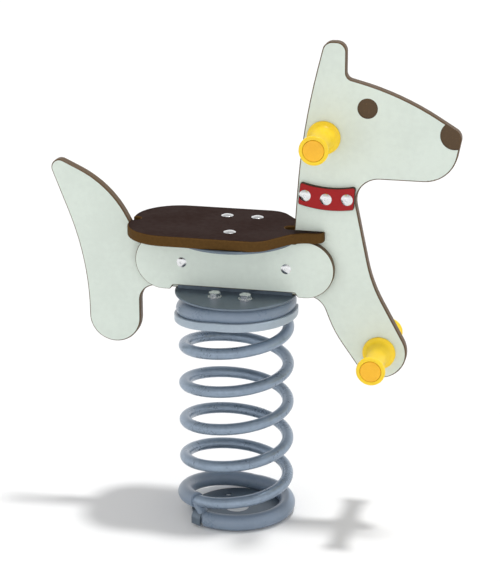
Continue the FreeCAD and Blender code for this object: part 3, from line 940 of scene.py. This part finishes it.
@dataclass
class Boards:
    """The sheet boards: the silhouette, side panels, seat and collars keep their CAD shape."""

    def build(
        self,
        pale: bpy.types.Material,
        sides: dict[Side, bpy.types.Material],
        seat: bpy.types.Material,
        collars: dict[Side, bpy.types.Material],
        shaded_bracket: bpy.types.Material,
    ) -> None:
        """Dress the boards and the hub brackets.

        Args:
            pale: The silhouette's finish.
            sides: The side panels' finishes.
            seat: The seat's finish.
            collars: The collars' finishes.
            shaded_bracket: The hub brackets' finish.
        """
        dress(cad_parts["dog_board"], pale)
        dress(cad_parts["seat_board"], seat)
        for side in Side:
            dress(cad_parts[f"{side.name.lower()}_side_panel"], sides[side])
            dress(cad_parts[f"{side.name.lower()}_collar"], collars[side])
        # The hub brackets take the darker bracket coat, which is painted shade.
        for node in ("lower_hub_bracket", "upper_hub_bracket"):
            dress(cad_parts[node], shaded_bracket)
        LOG.info("boards and hub brackets dressed")


@dataclass
class Grips:
    """Spool-shaped grips in pairs, with their end caps and tie bars."""

    flange: float = 0.0285
    grip: float = 0.0165
    end: float = 0.0245
    bore: float = 0.0065
    cap: float = 0.0175
    pinhole: float = 0.0005

    def build(
        self, moulded: bpy.types.Material, capped: bpy.types.Material, steel: bpy.types.Material
    ) -> None:
        """Make the handles and the footrests.

        Args:
            moulded: The grips' finish.
            capped: The caps' finish.
            steel: The tie bars' finish.
        """
        for pair in ("handle", "footrest"):
            for side in Side:
                self.spool(pair, side, moulded, capped)
            dress(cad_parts[f"{pair}_tie_bar"], steel)
            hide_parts(f"{pair}_caps")

    def spool(self, pair: str, side: Side, moulded: bpy.types.Material, capped: bpy.types.Material) -> None:
        """Make one grip and its cap on one side.

        Args:
            pair: handle or footrest.
            side: Which side of the silhouette.
            moulded: The grip's finish.
            capped: The cap's finish.
        """
        node = f"{side.name.lower()}_{pair}"
        low, high = (np.array(c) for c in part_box(node))
        centre, length = (low + high) / 2, high[1] - low[1]
        axis = np.array([0.0, side.value, 0.0])
        foot = centre - axis * length / 2
        step, rim = self.cap + 0.0005, length - 0.009
        corners = [
            (self.bore, 0.0, 0.0),
            (self.flange, 0.0, 0.0018),
            (self.flange - 0.0004, 0.0050, 0.0016),
            (self.grip + 0.0046, 0.0078, 0.010),
            (self.grip, 0.0245, 0.020),
            (self.grip, length - 0.0225, 0.016),
            (self.end - 0.0016, length - 0.0075, 0.0030),
            (self.end, length - 0.0058, 0.0012),
            (self.end, length, 0.0026),
            (step, length, 0.0008),
            (step, rim, 0.0),
            (self.bore, rim, 0.0),
        ]
        spool = lathe(f"{node}_grip", rounded(corners, 8), foot, axis, 96, loop=True, sharp=50.0)
        place(spool, "rider", moulded, "yellow_plastic", node)
        deep = rim + 0.0002
        face = [
            (0.0, length + 0.0008, 0.0),
            (self.cap - 0.0045, length + 0.0007, 0.02),
            (self.cap, length + 0.0003, 0.0009),
            (self.cap, deep, 0.0),
            (0.0, deep, 0.0),
        ]
        rings = rounded(face, 6)
        rings[0, 0] = rings[-1, 0] = self.pinhole
        cap = lathe(f"{node}_cap", rings, foot, axis, 72, sharp=50.0)
        place(cap, "rider", capped, "yellow_plastic")


class Drive(Enum):
    """How a fastener's head is driven."""

    HEXAGON_RECESS = "recess"
    BLANK = "blank"


@dataclass(frozen=True)
class DomedKind:
    """One kind of domed bolt head or cap: where it is, which way it faces, and its sizes in metres."""

    node: str
    count: int
    axis: tuple[float, float, float]
    height: float
    shank: float
    drive: Drive = Drive.HEXAGON_RECESS


@dataclass
class Fasteners:
    """Domed bolts and caps through the boards, and hexagon bolts on the hub."""

    recess: float = 0.0027
    recess_depth: float = 0.0024
    rim: float = 0.0007
    hexagon_flat: float = 0.009
    hexagon_height: float = 0.0072
    hexagon_shank: float = 0.006
    bevel: float = 0.0006
    pinhole: float = 0.0003
    dome_edge: float = 0.0005
    blank_centre: float = 0.0004
    kinds: tuple[DomedKind, ...] = (
        DomedKind("side_bolts", 2, (0, -1, 0), 0.0034, 0.005),
        DomedKind("side_cap_nuts", 2, (0, 1, 0), 0.0034, 0.0),
        DomedKind("collar_bolts", 3, (0, -1, 0), 0.0040, 0.004),
        DomedKind("collar_cap_nuts", 3, (0, 1, 0), 0.0040, 0.0),
        DomedKind("seat_bolts", 3, (0, 0, 1), 0.0030, 0.005, Drive.BLANK),
    )

    def build(self, steel: bpy.types.Material) -> None:
        """Make the domed and hexagon heads, and dress the washers and nuts.

        Args:
            steel: The finish.
        """
        for kind in self.kinds:
            for number, (low, high) in enumerate(solids_of(kind.node, kind.count), 1):
                self.domed(kind, number, low, high, steel)
        for number, (low, high) in enumerate(solids_of("hub_bolts", 3), 1):
            self.hexagonal(number, low, high, steel)
        for node in ("hub_washers", "hub_nuts", "seat_cap_nuts"):
            dress(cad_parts[node], steel)

    def domed(
        self, kind: DomedKind, number: int, low: np.ndarray, high: np.ndarray, steel: bpy.types.Material
    ) -> None:
        """Make one domed head on its shank, with a hexagonal recess if it has one.

        Over the radius r the dome's height is edge + (height - edge) * (1 - (r / head)^2).

        Args:
            kind: Its kind.
            number: Its place from the tail, from 1.
            low: Lowest corner of the solid.
            high: Highest corner.
            steel: The finish.
        """
        axis = np.array(kind.axis)
        along = int(np.argmax(np.abs(axis)))
        head = float(np.delete(high - low, along).max()) / 2
        foot = (low + high) / 2
        foot[along] = (high if axis[along] > 0 else low)[along] - axis[along] * kind.height
        stem = float((high - low)[along]) - kind.height
        edge = self.dome_edge
        inner = self.recess + self.rim if kind.drive is Drive.HEXAGON_RECESS else self.blank_centre
        radii = np.linspace(head - 0.0002, inner, 16)
        heights = edge + (kind.height - edge) * (1 - (radii / head) ** 2)
        rings = [(self.pinhole, 0.0)]
        if kind.shank:
            rings = [(self.pinhole, -stem), (kind.shank, -stem), (kind.shank, 0.0)]
        rings += [(head - 0.0002, 0.0), (head, 0.0002), (head, edge - 0.0001), *zip(radii, heights)]
        flats = [0.0] * len(rings)
        if kind.drive is Drive.HEXAGON_RECESS:
            top = heights[-1]
            low_end = top - self.recess_depth
            rings += [(self.recess, top - 0.0002), (self.recess, low_end), (self.pinhole, low_end)]
            flats += [1.0, 1.0, 0.0]
        name = f"{kind.node[:-1]}_{number}_head"
        piece = lathe(name, np.array(rings), foot, axis, 60, flats=np.array(flats), sharp=50.0)
        place(piece, "rider", steel, "bolt_steel", *([kind.node] if number == 1 else []))

    def hexagonal(self, number: int, low: np.ndarray, high: np.ndarray, steel: bpy.types.Material) -> None:
        """Make one hexagon bolt: a bevelled head and a shank.

        Args:
            number: Its place from the tail, from 1.
            low: Lowest corner of the solid.
            high: Highest corner.
            steel: The finish.
        """
        flat, tall, bevel = self.hexagon_flat, self.hexagon_height, self.bevel
        foot = (low + high) / 2
        foot[2] = high[2] - tall
        end = low[2] - foot[2]
        shank, pinhole = self.hexagon_shank, self.pinhole
        rings = [
            (pinhole, end),
            (shank - bevel, end),
            (shank, end + bevel),
            (shank, 0.0),
            (flat - bevel, 0.0),
            (flat, bevel),
            (flat, tall - bevel),
            (flat - bevel, tall),
            (pinhole, tall),
        ]
        flats = [0, 0, 0, 0, 1, 1, 1, 1, 0]
        name = f"hub_bolt_{number}_hexagon"
        piece = lathe(name, np.array(rings), foot, UP, 60, flats=np.array(flats), sharp=25.0)
        place(piece, "rider", steel, "bolt_steel", *(["hub_bolts"] if number == 1 else []))


# ---- studio -------------------------------------------------------------------------------------


@dataclass
class Studio:
    """White floor, even white surroundings, a high sun for the ground shadow, and the camera."""

    azimuth: float = 12.515
    elevation: float = 18.301
    focus: float = 1900.0
    image_height: float = 581.0
    sensor: float = 36.0
    distance: float = 3.3908
    aim_across: float = 0.023514
    aim_up: float = 0.388541

    def build(self) -> None:
        """Set up the floor, the lights and the camera."""
        self.floor()
        self.lights()
        self.camera()

    def floor(self) -> None:
        """A large white ground plane."""
        mesh = bpy.data.meshes.new("floor")
        mesh.from_pydata([(-30, -30, 0), (30, -30, 0), (30, 30, 0), (-30, 30, 0)], [], [(0, 1, 2, 3)])
        floor = bpy.data.objects.new("floor", mesh)
        bpy.context.scene.collection.objects.link(floor)
        material, _, shader, _ = start_material("studio_white")
        shader.inputs["Base Color"].default_value = (0.9, 0.9, 0.9, 1.0)
        shader.inputs["Roughness"].default_value = 0.9
        shader.inputs["Specular IOR Level"].default_value = 0.1
        dress(floor, material)

    def lights(self) -> None:
        """Even white surroundings, a sun from above, and a broad soft light from the front."""
        world = bpy.data.worlds.new("studio")
        world.use_nodes = True
        graph = Graph(world.node_tree)
        way = graph.add("ShaderNodeTexCoord").outputs["Generated"]
        height = graph.add("ShaderNodeSeparateXYZ", {"Vector": way}).outputs["Z"]
        glow = graph.spread(height, 0.0, 0.95, 1.25, 0.42)
        sky = graph.add("ShaderNodeBackground", {"Color": (1.0, 1.0, 1.0, 1.0), "Strength": glow})
        graph.add("ShaderNodeOutputWorld", {"Surface": sky.outputs[0]})
        bpy.context.scene.world = world
        bpy.context.scene.view_settings.view_transform = "Standard"
        self.lamp("sun", "SUN", (0.50, 0.22, 3.2), (0.0, 0.0, 0.0), 1.7, angle=0.09)
        self.lamp("front", "AREA", (-0.6, -3.4, 0.9), (0.0, 0.0, 0.45), 6.0, size=3.0)

    def lamp(
        self,
        name: str,
        kind: str,
        at: Sequence[float],
        to: Sequence[float],
        energy: float,
        size: float = 1.0,
        angle: float = 0.0,
    ) -> None:
        """Add a light.

        Args:
            name: Its name.
            kind: Blender's light type.
            at: Where it stands.
            to: What it points at.
            energy: Its strength.
            size: An area light's side.
            angle: A sun's angular size in radians.
        """
        data = bpy.data.lights.new(name, kind)
        data.energy = energy
        if kind == "AREA":
            data.size = size
        if kind == "SUN":
            data.angle = angle
        lamp = bpy.data.objects.new(name, data)
        lamp.location = at
        lamp.rotation_euler = (Vector(to) - Vector(at)).to_track_quat("-Z", "Y").to_euler()
        bpy.context.scene.collection.objects.link(lamp)

    def camera(self) -> None:
        """Stand the camera off to the dog's right, a little towards its nose, looking down."""
        a, e = np.radians([self.azimuth, self.elevation])
        right = np.array([np.cos(a), np.sin(a), 0.0])
        back = np.array([np.sin(a) * np.cos(e), -np.cos(a) * np.cos(e), np.sin(e)])
        up = np.cross(back, right)
        eye = right * self.aim_across + up * self.aim_up + back * self.distance
        data = bpy.data.cameras.new("camera")
        data.sensor_width = self.sensor
        data.lens = self.focus * self.sensor / self.image_height
        data.clip_end = 100.0
        camera = bpy.data.objects.new("camera", data)
        pose = Matrix.Identity(4)
        for column, vector in enumerate((right, up, back, eye)):
            pose.col[column][:3] = vector
        camera.matrix_world = pose
        bpy.context.scene.collection.objects.link(camera)
        bpy.context.scene.camera = camera


def main() -> None:
    """Build the studio and every sub-assembly, and report each piece."""
    logging.basicConfig(level=logging.INFO)
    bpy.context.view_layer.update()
    shop = Workshop()
    skin, core = (0.69, 0.765, 0.695), (0.105, 0.055, 0.017)
    pale = SheetFinish("pale_sheet", skin, core, Layer.ACROSS, 0.0, BOARD_THICKNESS).make(shop)
    sides = {
        side: SheetFinish(
            f"{side.name.lower()}_pale_panel", skin, core, Layer.ACROSS,
            side.value * PANEL_MIDDLE, PANEL_THICKNESS,
        ).make(shop)
        for side in Side
    }
    red, red_core = (0.34, 0.010, 0.012), (0.03, 0.014, 0.006)
    collars = {
        side: SheetFinish(
            f"{side.name.lower()}_red_panel", red, red_core, Layer.ACROSS,
            side.value * COLLAR_MIDDLE, COLLAR_THICKNESS, shine=0.2,
        ).make(shop)
        for side in Side
    }
    low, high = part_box("seat_board")
    brown, middle, thickness = (0.017, 0.0035, 0.0008), (low[2] + high[2]) / 2, high[2] - low[2]
    seat = SheetFinish("brown_sheet", brown, core, Layer.UPWARD, middle, thickness, shine=0.015).make(shop)
    yellow = MouldedFinish("yellow_moulding", (0.95, 0.66, 0.012), (0.90, 0.60, 0.009), 0.35).make(shop)
    amber = MouldedFinish("amber_cap", (0.95, 0.50, 0.010), (0.90, 0.45, 0.008), 0.35).make(shop)
    sleeve = MouldedFinish("grey_blue_sleeve", (0.20, 0.255, 0.335), (0.18, 0.235, 0.31), 0.30).make(shop)
    cup = MouldedFinish("pale_blue_cup", (0.36, 0.43, 0.50), (0.32, 0.39, 0.46), 0.35).make(shop)
    coat = PowderCoat("spring_coat", (0.25, 0.315, 0.40), (0.34, 0.40, 0.46), 0.30, metallic=0.55).make(shop)
    # The brackets, plates and straps wear the spring's own powder coat. This darker copy of its colour is
    # painted shade, read off the shaded upward face of the hub disc.
    shaded_bracket = PowderCoat(
        "bracket_coat_painted_shade", (0.14, 0.18, 0.225), (0.24, 0.28, 0.33), 0.36, metallic=0.4
    ).make(shop)
    steel = SteelFinish("stainless").make(shop)
    Studio().build()
    SpringUnit().build(coat, sleeve, cup, shaded_bracket, steel)
    Boards().build(pale, sides, seat, collars, shaded_bracket)
    Grips().build(yellow, amber, steel)
    Fasteners().build(steel)


if __name__ == "__main__":
    main()
